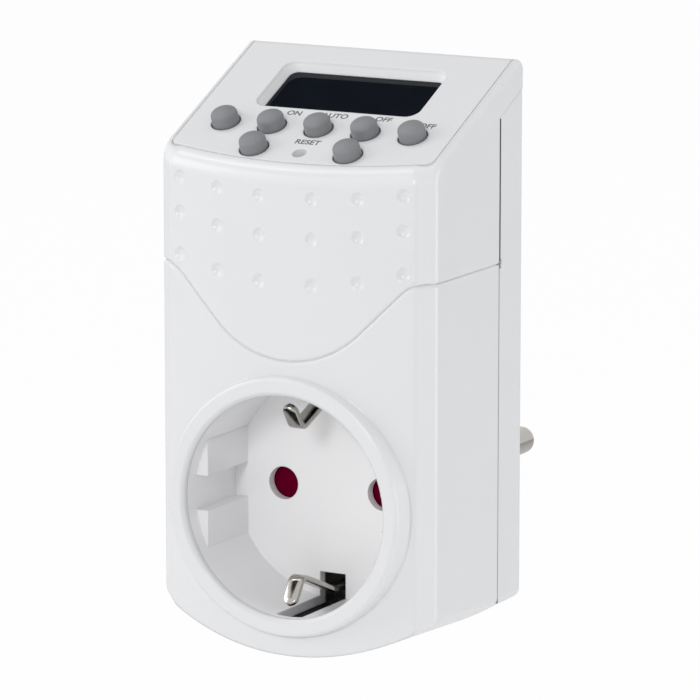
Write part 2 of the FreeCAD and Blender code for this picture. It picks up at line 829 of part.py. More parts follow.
def display_lens():
    """Glossy dark lens: its middle fills the window, and its flange lies under the fascia."""
    middle = plate(
        window_width - 2 * lens_clearance, window_height - 2 * lens_clearance, 0, window_place,
        lens_under, lens_top, window_corner,
    )
    flange = plate(
        window_width + 2 * lens_flange, window_height + 2 * lens_flange, 0, window_place,
        lens_under, lens_under + lens_flange_thickness, window_corner,
    )
    return on_panel(middle.fuse(flange).removeSplitter())


def display_glass():
    """Liquid crystal glass under the lens."""
    return on_panel(plate(glass_width, glass_height, 0, window_place, glass_under, glass_top))


def display_frame():
    """Frame that holds the display glass above the control board."""
    gap = 2 * display_gap
    width = glass_width + gap + 2 * frame_wall
    outer = plate(width, glass_height + gap, 0, window_place, board_top, lens_under - display_gap)
    inner = plate(glass_width + gap, glass_height - 2 * frame_wall, 0, window_place, board_top, 0)
    seat = plate(glass_width + gap, glass_height + gap, 0, window_place, glass_under, 0)
    return on_panel(outer.cut(inner).cut(seat))


def zebra_strip():
    """Rubber strip that joins the display glass to the control board."""
    place = window_place - glass_height / 2 + frame_wall + zebra_width
    return on_panel(plate(zebra_length, zebra_width, 0, place, board_top, glass_under))


def keypad_mat():
    """Silicone tray on the control board, with a hole for each stem and post."""
    middle = (mat_front + mat_back) / 2
    height = mat_back - mat_front
    tray = plate(mat_width, height, 0, middle, board_top, mat_top)
    tray = tray.cut(plate(mat_width - 2 * mat_rim, height - 2 * mat_rim, 0, middle, board_top, mat_under))
    for x, s in key_places():
        tray = tray.cut(stud(key_stem_radius + key_gap, x, s, -far, far))
    for x, s in post_centres():
        tray = tray.cut(stud(post_radius + key_gap, x, s, -far, far))
    return on_panel(tray.cut(stud(reset_plunger_radius + key_gap, 0, reset_place, -far, far)))


def key(x, s):
    """Soft key with a domed head, a flange under the fascia and a stem."""
    crown = key_rise + key_dome
    ball = (key_radius**2 + key_dome**2) / (2 * key_dome)
    middle_r = key_radius / 2
    middle_n = crown - ball + math.sqrt(ball**2 - middle_r**2)
    profile = [
        Part.Arc(V(0, 0, crown), V(middle_r, 0, middle_n), V(key_radius, 0, key_rise)).toShape(),
        Part.makeLine(V(key_radius, 0, key_rise), V(key_radius, 0, flange_top)),
        Part.makeLine(V(key_radius, 0, flange_top), V(key_flange_radius, 0, flange_top)),
        Part.makeLine(V(key_flange_radius, 0, flange_top), V(key_flange_radius, 0, flange_under)),
        Part.makeLine(V(key_flange_radius, 0, flange_under), V(key_stem_radius, 0, flange_under)),
        Part.makeLine(V(key_stem_radius, 0, flange_under), V(key_stem_radius, 0, stem_end)),
        Part.makeLine(V(key_stem_radius, 0, stem_end), V(0, 0, stem_end)),
        Part.makeLine(V(0, 0, stem_end), V(0, 0, crown)),
    ]
    solid = Part.Face(Part.Wire(profile)).revolve(V(0, 0, 0), V(0, 0, 1), 360)
    solid.translate(V(x, s, 0))
    return on_panel(solid)


def reset_plunger():
    """Small rod at the bottom of the reset hole, above its switch."""
    switch_top = board_top + reset_switch_height
    low = switch_top + reset_travel + shell_gap
    return on_panel(stud(reset_plunger_radius, 0, reset_place, low, -reset_depth))


def reset_switch():
    """Switch on the control board under the reset plunger."""
    size = reset_switch_size
    place = reset_place + reset_switch_shift
    return on_panel(plate(size, size, 0, place, board_top, board_top + reset_switch_height))


def control_board():
    """Circuit board parallel to the slope."""
    middle = (board_front + board_back) / 2
    board = plate(board_width, board_back - board_front, 0, middle, board_under, board_top, board_corner)
    for x, s in post_centres():
        board = board.cut(stud(small_screw_radius + small_clearance, x, s, -far, far))
    return on_panel(board)


def board_screws():
    """Four small screws that hold the control board to the posts of the fascia."""
    pieces = []
    for x, s in post_centres():
        shank = stud(small_screw_radius, x, s, board_under, board_top + small_screw_reach)
        head = stud(small_head_radius, x, s, board_under - small_head_height, board_under)
        pieces.append(on_panel(shank.fuse(head)))
    return Part.makeCompound(pieces)


def control_chip():
    """Rounded drop of black resin over the bare chip, under the board."""
    ball = (chip_radius**2 + chip_height**2) / (2 * chip_height)
    centre = V(chip_place[0], chip_place[1], board_under - chip_height + ball)
    return on_panel(Part.makeSphere(ball, centre).common(box(-far, far, -far, far, -far, board_under)))


def backup_cell():
    """Button cell that keeps the clock going."""
    x, s = cell_place
    return on_panel(stud(cell_radius, x, s, board_under - cell_height, board_under))


def power_board():
    """Upright circuit board, staked to the rear shell."""
    half = power_width / 2
    board = box(-half, half, -power_front, power_back_y, power_low, power_high)
    for x in (-stake_x, stake_x):
        for z in stake_heights:
            board = board.cut(rod(stake_radius + shell_gap, x, z, -far, far))
    return board


def on_power_board(size, place):
    """Block standing on the front of the power board."""
    return box(
        place[0] - size[0] / 2, place[0] + size[0] / 2, -power_front - size[1], -power_front,
        place[1] - size[2] / 2, place[1] + size[2] / 2,
    )


def barrel(radius, length, place):
    """Round component lying on the front of the power board."""
    start = V(place[0] - length / 2, -power_front - radius, place[1])
    return Part.makeCylinder(radius, length, start, V(1, 0, 0))


def rectifier_diodes():
    """Row of small diodes on the power board."""
    x, z = diode_place
    places = [(x, z + i * diode_pitch) for i in range(diode_count)]
    return Part.makeCompound([barrel(diode_radius, diode_length, place) for place in places])


def ribbon_cable():
    """Flat cable from the power board up to the underside of the control board."""
    front = -power_front - ribbon_thickness
    low = power_high - ribbon_lap
    tall = box(
        ribbon_x - ribbon_width / 2, ribbon_x + ribbon_width / 2, front, -power_front, low, top_height
    )
    under = on_panel(box(-far, far, -far, far, -2 * far, board_under))
    return tall.common(under)


def carrier_screws():
    """Two screws that hold the contact carrier to the back of the socket cup."""
    pieces = []
    seat = carrier_front + carrier_ear_depth
    for way in (-1, 1):
        place = way * carrier_ear_place
        shank = rod(small_screw_radius, place, place, floor_y + floor_thickness / 2 + shell_gap, seat)
        head = rod(small_head_radius, place, place, seat, seat + small_head_height)
        pieces.append(shank.fuse(head))
    return Part.makeCompound(pieces)


def case_screws():
    """Four long screws from the rear shell into the front covers."""
    pieces = []
    for place in (lower_screw_place, upper_screw_place):
        for x, z in screw_places(place):
            head = rod(screw_head_radius, x, z, screw_seat_y, screw_seat_y + screw_head_height)
            shank = rod(screw_radius, x, z, screw_seat_y - screw_length, screw_seat_y)
            pieces.append(head.fuse(shank))
    return Part.makeCompound(pieces)


os.makedirs("parts", exist_ok=True)

outer_shape = rounded_envelope()
cavity_shape = envelope(wall)

save("rear_shell", rear_shell())
save("plug_base", plug_base())
save("upper_front_cover", upper_front_cover(outer_shape, cavity_shape))
save("lower_front_cover", lower_front_cover(outer_shape, cavity_shape))
save("control_fascia", control_fascia())
save("display_lens", display_lens())
save("display_glass", display_glass())
save("display_frame", display_frame())
save("zebra_strip", zebra_strip())
save("keypad_mat", keypad_mat())
key_names = ("clock", "week", "hour", "minute", "mode", "timer", "random")
for key_name, (key_x, key_s) in zip(key_names, key_places()):
    save(key_name + "_key", key(key_x, key_s))
save("reset_plunger", reset_plunger())
save("reset_switch", reset_switch())
save("control_board", control_board())
save("board_screws", board_screws())
save("control_chip", control_chip())
save("backup_cell", backup_cell())
save("socket_cup", socket_cup())
save("child_shutter", child_shutter())
save("shutter_spring", shutter_spring())
save("contact_carrier", contact_carrier())
save("carrier_screws", carrier_screws())
save("live_contact", contact_sleeve(pin_x))
save("neutral_contact", contact_sleeve(-pin_x))
save("live_contact_strip", board_strip(pin_x, carrier_back, power_low + strip_breadth))
save("live_pin_strip", board_strip(pin_x, pin_strip_y, power_low + 2 * strip_breadth))
save("neutral_strip", board_strip(-pin_x, carrier_back, power_low + strip_breadth))
save("upper_earth_strip", earth_strip())
save("lower_earth_strip", mirrored(earth_strip()))
save("earth_link", earth_link())
save("live_plug_pin", plug_pin(pin_x, pin_strip_y + strip_thickness))
save("neutral_plug_pin", plug_pin(-pin_x, carrier_back + strip_thickness))
save("power_board", power_board())
save("relay", on_power_board(relay_size, relay_place))
save("suppression_capacitor", on_power_board(capacitor_size, capacitor_place))
save("smoothing_capacitor", barrel(smoothing_radius, smoothing_length, smoothing_place))
save("varistor", barrel(varistor_radius, varistor_thickness, varistor_place))
save("fuse", barrel(fuse_radius, fuse_length, fuse_place))
save("rectifier_diodes", rectifier_diodes())
save("ribbon_cable", ribbon_cable())
save("case_screws", case_screws())
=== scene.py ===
import math

import bmesh
import bpy
from mathutils import Matrix, Vector


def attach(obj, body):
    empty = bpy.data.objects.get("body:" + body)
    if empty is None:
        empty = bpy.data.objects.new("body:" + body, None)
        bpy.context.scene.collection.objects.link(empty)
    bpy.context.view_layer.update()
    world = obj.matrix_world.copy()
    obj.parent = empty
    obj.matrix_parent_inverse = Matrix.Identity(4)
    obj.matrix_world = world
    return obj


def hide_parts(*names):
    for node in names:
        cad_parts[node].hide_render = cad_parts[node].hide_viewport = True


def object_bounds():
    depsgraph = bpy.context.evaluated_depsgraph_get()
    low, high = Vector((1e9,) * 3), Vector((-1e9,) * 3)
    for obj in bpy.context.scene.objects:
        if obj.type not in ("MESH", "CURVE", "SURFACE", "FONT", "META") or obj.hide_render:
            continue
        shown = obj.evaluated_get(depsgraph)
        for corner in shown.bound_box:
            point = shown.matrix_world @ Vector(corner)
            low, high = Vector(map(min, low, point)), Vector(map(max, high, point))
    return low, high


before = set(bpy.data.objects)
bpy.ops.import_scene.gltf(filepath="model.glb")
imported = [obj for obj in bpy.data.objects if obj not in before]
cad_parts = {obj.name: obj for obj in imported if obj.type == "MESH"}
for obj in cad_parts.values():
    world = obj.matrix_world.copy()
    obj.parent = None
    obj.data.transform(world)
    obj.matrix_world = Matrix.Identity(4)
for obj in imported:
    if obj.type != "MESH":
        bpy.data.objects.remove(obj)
cad_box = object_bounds()

# Rear shell and plug base. The half of the case that meets the wall, and the hollow round boss
# that goes into the wall socket: two mouldings in the same satin white plastic. The boss is held by
# its flange behind the rear wall, and four screws hold the shell to the front covers.
MM = 0.001
REAR_WHITE = (0.745, 0.757, 0.77, 1)
MOULD_GRAIN = 0.22 * MM
MOULD_CLOUD = 14 * MM
MOULD_DEPTH = 0.004 * MM
MOULD_EDGE = 0.22 * MM
CLOUD_TINTS = (0.985, 1.015)
CLOUD_GLOSS = 0.08
GRAIN_GLOSS = 0.06
PLASTIC_GLOSS = {"IOR": 1.49, "Specular IOR Level": 0.5}


class Wire:
    """A value in a node tree: sums on it add Math nodes, and node() adds any other node."""

    def __init__(self, tree, socket=None):
        self.tree = tree
        self.socket = socket

    def node(self, kind, sockets=None, output=0, **settings):
        node = self.tree.nodes.new(kind)
        for name, value in settings.items():
            setattr(node, name, value)
        for key, value in (sockets or {}).items():
            if isinstance(value, Wire):
                self.tree.links.new(value.socket, node.inputs[key])
            else:
                node.inputs[key].default_value = value
        return Wire(self.tree, node.outputs[output] if node.outputs else None)

    def other(self, name):
        """Another output of the same node."""
        return Wire(self.tree, self.socket.node.outputs[name])

    def maths(self, operation, first, second=0.0):
        return self.node("ShaderNodeMath", {0: first, 1: second}, operation=operation)

    def __add__(self, other):
        return self.maths("ADD", self, other)

    def __sub__(self, other):
        return self.maths("SUBTRACT", self, other)

    def __rsub__(self, other):
        return self.maths("SUBTRACT", other, self)

    def __mul__(self, other):
        return self.maths("MULTIPLY", self, other)

    def __truediv__(self, other):
        return self.maths("DIVIDE", self, other)

    def __gt__(self, other):
        return self.maths("GREATER_THAN", self, other)

    def __lt__(self, other):
        return self.maths("LESS_THAN", self, other)

    __radd__ = __add__
    __rmul__ = __mul__


def blank(owner):
    """The empty node tree of a new material or world."""
    owner.use_nodes = True
    owner.node_tree.nodes.clear()
    return Wire(owner.node_tree)


def finish(name, constants, varying):
    """A node material: constants are set on the shader, and varying(place) gives what changes."""
    material = bpy.data.materials.new(name)
    start = blank(material)
    place = start.node("ShaderNodeTexCoord", output="Object")
    shader = start.node("ShaderNodeBsdfPrincipled", {**constants, **varying(place)})
    start.node("ShaderNodeOutputMaterial", {"Surface": shader})
    return material


def noise(place, size, detail=2.0):
    """Soft spots of about one size."""
    return place.node("ShaderNodeTexNoise", {"Vector": place, "Scale": 1 / size, "Detail": detail})


def blend(factor, first, second):
    """A colour between two others."""
    colours = {0: factor, 6: first, 7: second}
    return factor.node("ShaderNodeMix", colours, output=2, data_type="RGBA")


def across(value, low, high, first=0.0, last=1.0):
    """Goes from one number to another while a value crosses from low to high."""
    return value.node("ShaderNodeMapRange", {0: value, 1: low, 2: high, 3: first, 4: last})


def bump(height, depth, edge=None):
    """Fine relief, on an edge that is already soft where one is given."""
    sockets = {"Height": height, "Distance": depth}
    if edge:
        sockets["Normal"] = edge
    return height.node("ShaderNodeBump", sockets)


def soft_edge(place, radius):
    """The small radius that a mould leaves along every edge."""
    return place.node("ShaderNodeBevel", {"Radius": radius}, samples=8)


def shaded(colour, share):
    """The same colour, darker or lighter."""
    return tuple(c * share for c in colour[:3]) + (1,)


def clouded(cloud, colour, tints=CLOUD_TINTS):
    """A colour that the flow clouds make a little darker and lighter."""
    return blend(cloud, shaded(colour, tints[0]), shaded(colour, tints[1]))


def moulded(name, colour, roughness, depth=MOULD_DEPTH, grain=MOULD_GRAIN, radius=0.0,
            gloss=PLASTIC_GLOSS):
    """Moulded plastic: spark-eroded texture, faint flow clouds in its colour and its gloss."""

    def varying(place):
        cloud = noise(place, MOULD_CLOUD)
        fine = noise(place, grain)
        return {
            "Base Color": clouded(cloud, colour),
            "Roughness": roughness + (cloud - 0.5) * CLOUD_GLOSS + (fine - 0.5) * GRAIN_GLOSS,
            "Normal": bump(fine, depth, radius and soft_edge(place, radius)),
        }

    return finish(name, gloss, varying)


def dress(material, *nodes):
    """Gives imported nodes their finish."""
    for node in nodes:
        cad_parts[node].material_slots[0].material = material


rear_white = moulded("satin_white_rear", REAR_WHITE, 0.34, radius=MOULD_EDGE)
dress(rear_white, "rear_shell", "plug_base")

# Plug pins and earth strips. Solid brass pins and sprung brass strips, nickel plated, with fine
# drawing lines. The pins sit in sleeves of the plug base, and the strips run through it into the
# recess, where each is bent inwards and ends in a rounded lip.
NICKEL = (0.47, 0.45, 0.42, 1)
PLATE_DULL = 0.93
PLATE_MARK = 0.35 * MM
PLATE_HAZE = 4 * MM
PLATE_DEPTH = 0.002 * MM
SHARP_ANGLE = math.radians(38)
STRIP_WIDTH = 2.75 * MM
STRIP_HALF = 0.5 * MM
STRIP_SOFT = 0.3 * MM
STRIP_TIP = (-34.1 * MM, 16.9 * MM)
STRIP_APEX = (-31.2 * MM, 12.6 * MM)
STRIP_ROOT = (-19.7 * MM, 17.2 * MM)
STRIP_END = (11.6 * MM, 17.2 * MM)
STRIP_BENDS = (1.5 * MM, 3.0 * MM)
STRIP_SIDES = 16
LIP_STEPS = 8


def plated(name, colour, roughness):
    """Plated metal with fine marks and a little dulling."""

    def varying(place):
        marks = noise(place, PLATE_MARK, 4.0)
        haze = noise(place, PLATE_HAZE)
        return {
            "Base Color": blend(haze, shaded(colour, PLATE_DULL), colour),
            "Roughness": roughness + (marks - 0.5) * 0.12 + (haze - 0.5) * 0.08,
            "Normal": bump(marks, PLATE_DEPTH),
        }

    return finish(name, {"Metallic": 1.0}, varying)


def rounded(points, radii, steps=8):
    """A path with an arc at each inner point."""
    path = [Vector(points[0])]
    for before, corner, after, radius in zip(points, points[1:], points[2:], radii):
        corner = Vector(corner)
        back = (Vector(before) - corner).normalized()
        ahead = (Vector(after) - corner).normalized()
        half = back.angle(ahead) / 2
        if radius <= 0 or half > math.radians(89.9):
            path.append(corner)
            continue
        centre = corner + (back + ahead).normalized() * radius / math.sin(half)
        start = corner + back * radius / math.tan(half) - centre
        end = corner + ahead * radius / math.tan(half) - centre
        sweep = start.angle(end)
        for i in range(steps + 1):
            share = i / steps
            first = math.sin((1 - share) * sweep) / math.sin(sweep)
            last = math.sin(share * sweep) / math.sin(sweep)
            path.append(centre + start * first + end * last)
    path.append(Vector(points[-1]))
    return path


def settled(name, mesh, body, slot, *nodes):
    """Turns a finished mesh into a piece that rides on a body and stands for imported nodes."""
    mesh.shade_smooth()
    mesh.set_sharp_from_angle(angle=SHARP_ANGLE)
    piece = bpy.data.objects.new(name, mesh)
    bpy.context.scene.collection.objects.link(piece)
    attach(piece, body)
    if nodes:
        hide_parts(*nodes)


def made(name, form, material, body, slot, *nodes):
    """Turns a bmesh into such a piece."""
    bmesh.ops.recalc_face_normals(form, faces=form.faces)
    mesh = bpy.data.meshes.new(name)
    form.to_mesh(mesh)
    form.free()
    mesh.materials.append(material)
    settled(name, mesh, body, slot, *nodes)


def skin(form, rings):
    """Faces between rings of points, with both ends closed."""
    rows = [[form.verts.new(p) for p in ring] for ring in rings]
    for low, high in zip(rows, rows[1:]):
        for i in range(len(low)):
            j = (i + 1) % len(low)
            form.faces.new((low[i], low[j], high[j], high[i]))
    form.faces.new(rows[0])
    form.faces.new(rows[-1])


nickel = plated("nickel_plate", NICKEL, 0.14)
dress(nickel, "live_plug_pin", "neutral_plug_pin")


def earth_strip(name, way, node):
    """A strip lofted along its bent path; way is -1 for the lower one."""
    path = rounded([STRIP_TIP, STRIP_APEX, STRIP_ROOT, STRIP_END], STRIP_BENDS)
    start, ahead = path[0], (path[1] - path[0]).normalized()
    lip = STRIP_WIDTH / 2
    turns = [math.pi / 2 * i / LIP_STEPS for i in range(LIP_STEPS)]
    lead = [start + ahead * lip * (1 - math.cos(turn)) for turn in turns]
    path = lead + [p for p in path if (p - start).dot(ahead) > lip or p is path[-1]]
    rings = []
    for i, point in enumerate(path):
        along = (path[min(i + 1, len(path) - 1)] - path[max(i - 1, 0)]).normalized()
        up = Vector((-along.y, along.x))
        reach = (point - start).length
        half = lip
        if reach < lip:
            half = max(math.sqrt(lip**2 - (lip - reach) ** 2), STRIP_SOFT)
        ring = []
        for k in range(STRIP_SIDES):
            angle = 2 * math.pi * (k + 0.5) / STRIP_SIDES
            out, rise = math.cos(angle), math.sin(angle)
            side = math.copysign(half - STRIP_SOFT, out) + STRIP_SOFT * out
            height = math.copysign(STRIP_HALF - STRIP_SOFT, rise) + STRIP_SOFT * rise
            spot = point + up * height
            ring.append((side, spot.x, way * spot.y))
        rings.append(ring)
    form = bmesh.new()
    skin(form, rings)
    made(name, form, nickel, "case", "nickel", node)


earth_strip("upper_earth_clip", 1, "upper_earth_strip")
earth_strip("lower_earth_clip", -1, "lower_earth_strip")

# Contacts and their strips. Slit sleeves and flat strips pressed from sheet brass, a little dull in
# patches. They lie in the contact carrier, behind the pin holes.
BRASS = (0.62, 0.44, 0.20, 1)
brass = plated("pressed_brass", BRASS, 0.3)
dress(brass, "live_contact", "neutral_contact", "live_contact_strip", "live_pin_strip")
dress(brass, "neutral_strip", "earth_link")

# Screws. Zinc-plated pan heads with a cross recess and a coarse thread that cuts its own way:
# four hold the case together from behind, two the contact carrier and four the control board.
STEEL = (0.52, 0.53, 0.54, 1)
HEAD_TAPER = 0.74
HEAD_SIDES = 48
RECESS_LENGTH = 1.15
RECESS_WIDTH = 0.26
CORE_SHARE = 0.84
CORE_SIDES = 32
THREAD_SHARE = 0.15
THREAD_STEPS = 24
SCREW_PITCH = 0.9 * MM
CASE_SCREW = {
    "Head Radius": 2.3 * MM, "Head Height": 1.8 * MM, "Shank Radius": 1.2 * MM, "Length": 17.0 * MM,
}
SMALL_HEAD = {"Head Radius": 1.7 * MM, "Head Height": 1.1 * MM, "Shank Radius": 0.9 * MM}
CARRIER_SCREW = {**SMALL_HEAD, "Length": 5.5 * MM}
BOARD_SCREW = {**SMALL_HEAD, "Length": 3.0 * MM}
CASE_PLACES = ((20.0, 13.8), (-20.0, 13.8), (20.3, -44.0), (-20.3, -44.0))
CARRIER_PLACES = ((12.4, -12.4), (-12.4, 12.4))
BOARD_PLACES = ((15.5, -7.4), (-15.5, -7.4), (20.2, -24.6), (-20.2, -24.6))
CASE_SEAT = -4.4 * MM
CARRIER_SEAT = -12.7 * MM
BOARD_SEAT = 7.4 * MM
SLOPE = math.radians(26)
PANEL_FRONT = (0, -35.35 * MM, 55.99 * MM)
panel = Matrix.Translation(PANEL_FRONT) @ Matrix.Rotation(SLOPE, 4, "X")
under_panel = panel @ Matrix.Rotation(math.pi, 4, "X")
backwards = Matrix.Rotation(math.radians(-90), 4, "X")
steel = plated("zinc_steel", STEEL, 0.32)


def geometry_tree(name, inputs):
    """A geometry tree with named inputs; gives the tree and the wire of its first input."""
    tree = bpy.data.node_groups.new(name, "GeometryNodeTree")
    for label, kind in inputs.items():
        tree.interface.new_socket(label, in_out="INPUT", socket_type="NodeSocket" + kind)
    tree.interface.new_socket("Piece", in_out="OUTPUT", socket_type="NodeSocketGeometry")
    return tree, Wire(tree).node("NodeGroupInput")


def close_tree(given, shape):
    """Ends a tree: real meshes in place of instances, and the piece's finish on them."""
    real = shape.node("GeometryNodeRealizeInstances", {0: shape})
    coat = {"Geometry": real, "Material": given.other("Finish")}
    done = real.node("GeometryNodeSetMaterial", coat)
    done.node("NodeGroupOutput", {0: done})


def placed_at(given, shape):
    """The same shape at each of the points given."""
    return given.node("GeometryNodeInstanceOnPoints", {"Points": given, "Instance": shape})


def swept(line, radius, sides):
    """A rod along a curve, with so many sides and closed ends."""
    section = line.node("GeometryNodeCurvePrimitiveCircle", {"Resolution": sides, "Radius": radius})
    parts = {"Curve": line, "Profile Curve": section, "Fill Caps": True}
    return line.node("GeometryNodeCurveToMesh", parts)


def moved(shape, x=0.0, y=0.0, z=0.0):
    """The same shape moved by values or wires."""
    offset = shape.node("ShaderNodeCombineXYZ", {"X": x, "Y": y, "Z": z})
    return shape.node("GeometryNodeTransform", {"Geometry": shape, "Translation": offset})


def joined(*shapes):
    """Several shapes as one."""
    tree = shapes[0].tree
    node = tree.nodes.new("GeometryNodeJoinGeometry")
    for shape in shapes:
        tree.links.new(shape.socket, node.inputs[0])
    return Wire(tree, node.outputs[0])


def screw_tree():
    """Cross-head screws at the points given, heads towards +Z."""
    tree, given = geometry_tree("cross_head_screws", {
        "Places": "Geometry", "Head Radius": "Float", "Head Height": "Float",
        "Shank Radius": "Float", "Length": "Float", "Pitch": "Float", "Finish": "Material",
    })
    radius, height = given.other("Head Radius"), given.other("Head Height")
    shank, length = given.other("Shank Radius"), given.other("Length")
    head = given.node("GeometryNodeMeshCone", {
        "Vertices": HEAD_SIDES, "Radius Top": radius * HEAD_TAPER, "Radius Bottom": radius,
        "Depth": height,
    })
    for x, y in ((RECESS_LENGTH, RECESS_WIDTH), (RECESS_WIDTH, RECESS_LENGTH)):
        bar = {"X": radius * x, "Y": radius * y, "Z": height}
        size = given.node("ShaderNodeCombineXYZ", bar)
        cutter = moved(given.node("GeometryNodeMeshCube", {"Size": size}), z=height)
        head = head.node("GeometryNodeMeshBoolean", {0: head, 1: cutter}, operation="DIFFERENCE")
    core_radius = shank * CORE_SHARE
    core = given.node("GeometryNodeMeshCylinder", {
        "Vertices": CORE_SIDES, "Radius": core_radius, "Depth": length,
    })
    turns = given.node("GeometryNodeCurveSpiral", {
        "Resolution": THREAD_STEPS, "Rotations": length / given.other("Pitch"),
        "Start Radius": core_radius, "End Radius": core_radius, "Height": length,
    })
    thread = swept(turns, shank * THREAD_SHARE, 4)
    whole = joined(head, moved(core, z=length * -0.5), moved(thread, z=length * -1))
    close_tree(given, placed_at(given, whole))
    return tree


def grown(name, tree, points, values, chained=False):
    """The plain mesh that a tree makes from some points, or a chain of them, and its inputs."""
    base = bpy.data.meshes.new(name)
    links = [(i, i + 1) for i in range(len(points) - 1)] if chained else []
    base.from_pydata(points, links, [])
    holder = bpy.data.objects.new(name, base)
    bpy.context.scene.collection.objects.link(holder)
    modifier = holder.modifiers.new(name, "NODES")
    modifier.node_group = tree
    for item in tree.interface.items_tree:
        if item.in_out == "INPUT" and item.name in values:
            modifier[item.identifier] = values[item.name]
    bpy.context.view_layer.update()
    evaluated = holder.evaluated_get(bpy.context.evaluated_depsgraph_get())
    mesh = bpy.data.meshes.new_from_object(evaluated)
    holder.modifiers.clear()
    bpy.data.objects.remove(holder)
    return mesh


screws = screw_tree()


def screw_set(name, node, turn, seat, places, sizes):
    """Screws of one size on a plane, turned with it; places are in millimetres."""
    spots = [(x * MM, y * MM, seat) for x, y in places]
    mesh = grown(name, screws, spots, {**sizes, "Pitch": SCREW_PITCH, "Finish": steel})
    mesh.transform(turn)
    settled(name, mesh, "case", "steel", node)


screw_set("case_screw_set", "case_screws", backwards, CASE_SEAT, CASE_PLACES, CASE_SCREW)
screw_set("carrier_screw_set", "carrier_screws", backwards, CARRIER_SEAT, CARRIER_PLACES,
          CARRIER_SCREW)
screw_set("board_screw_set", "board_screws", under_panel, BOARD_SEAT, BOARD_PLACES, BOARD_SCREW)

# Contact carrier and shutter spring. White insulating block behind the shutter, moulded in plastic
# that stands heat and held by two screws, with a coil spring of steel wire in its round recess.
CARRIER_WHITE = (0.74, 0.73, 0.70, 1)
COIL_PLACE = (0, 0, -14.3 * MM)
COIL_RADIUS = 3.6 * MM
COIL_WIRE = 0.28 * MM
COIL_TURNS = 2.0
COIL_HEIGHT = 0.6 * MM
COIL_STEPS = 64
COIL_SIDES = 16
dress(moulded("carrier_white", CARRIER_WHITE, 0.5), "contact_carrier")


def coil_tree():
    """A coil of round wire about Z."""
    tree, given = geometry_tree("wire_coil", {
        "Places": "Geometry", "Coil Radius": "Float", "Wire Radius": "Float", "Turns": "Float",
        "Height": "Float", "Finish": "Material",
    })
    radius = given.other("Coil Radius")
    line = given.node("GeometryNodeCurveSpiral", {
        "Resolution": COIL_STEPS, "Rotations": given.other("Turns"), "Start Radius": radius,
        "End Radius": radius, "Height": given.other("Height"),
    })
    wire = swept(line, given.other("Wire Radius"), COIL_SIDES)
    close_tree(given, placed_at(given, wire))
    return tree


spring = grown("shutter_coil", coil_tree(), [COIL_PLACE], {
    "Coil Radius": COIL_RADIUS, "Wire Radius": COIL_WIRE, "Turns": COIL_TURNS,
    "Height": COIL_HEIGHT, "Finish": steel,
})
spring.transform(backwards)
settled("shutter_coil", spring, "case", "steel", "shutter_spring")

# Child shutter. A dark red plastic disc, moulded in one piece, that turns on the pivot of the
# contact carrier. It closes both pin holes until the two pins of a plug push it round together.
SHUTTER_RED = (0.125, 0.0, 0.018, 1)
SHUTTER_DULL = {"IOR": 1.45, "Specular IOR Level": 0.0}
dress(moulded("shutter_red", SHUTTER_RED, 0.42, gloss=SHUTTER_DULL), "child_shutter")

# Socket cup. The round recess that takes the plug, moulded in glossier white plastic than the
# covers, its floor painted a lighter white as painted light. It sits behind the lower cover's ring,
# in front of the contacts.
CUP_WHITE = (0.86, 0.86, 0.868, 1)
# lighter white of the recess floor: painted light, the same plastic as the walls
CUP_FLOOR_LIT_WHITE = (0.93, 0.93, 0.935, 1)
CUP_FLOOR = (-19.6 * MM, -19.1 * MM)
CUP_EDGE = 0.3 * MM
CUP_DEPTH = 0.002 * MM


def cup(place):
    """Glossy white, with painted light on the floor: a lighter white there."""
    cloud = noise(place, MOULD_CLOUD)
    fine = noise(place, MOULD_GRAIN)
    depth = place.node("ShaderNodeSeparateXYZ", {0: place}, output="Y")
    return {
        "Base Color": blend(across(depth, *CUP_FLOOR), CUP_WHITE, CUP_FLOOR_LIT_WHITE),
        "Roughness": 0.2 + (cloud - 0.5) * CLOUD_GLOSS,
        "Normal": bump(fine, CUP_DEPTH, soft_edge(place, CUP_EDGE)),
    }


dress(finish("socket_white", PLASTIC_GLOSS, cup), "socket_cup")

# Slot shade. Black curved sheets round the back of the recess, seen through the slots behind the
# earth strips: painted shade that stands for the dark inside of the case.
# near-black of the sheets behind the slots: painted shade
SLOT_SHADOW_BLACK = (0.006, 0.006, 0.007, 1)
SHEET_RADII = (20.6 * MM, 20.75 * MM)
SHEET_SWEEP = math.radians(14)
SHEET_ENDS = (-33.25 * MM, -17.0 * MM)
SHEET_STEPS = 16
SHEET_DEPTH = 0.02 * MM
SHEET_GRAIN = 0.5 * MM
slot_shadow_paint = moulded("painted_slot_shadow", SLOT_SHADOW_BLACK, 0.7, SHEET_DEPTH, SHEET_GRAIN)


def shadow_sheet(name, way):
    """A curved black sheet behind one slot, as painted shade; way is -1 for the lower one."""
    rings = []
    for i in range(SHEET_STEPS + 1):
        angle = way * math.pi / 2 + SHEET_SWEEP * (2 * i / SHEET_STEPS - 1)
        rings.append([
            (SHEET_RADII[a] * math.cos(angle), SHEET_ENDS[b], SHEET_RADII[a] * math.sin(angle))
            for a, b in ((0, 0), (1, 0), (1, 1), (0, 1))
        ])
    form = bmesh.new()
    skin(form, rings)
    made(name, form, slot_shadow_paint, "case", "frame_black")


shadow_sheet("upper_slot_shadow", 1)
shadow_sheet("lower_slot_shadow", -1)

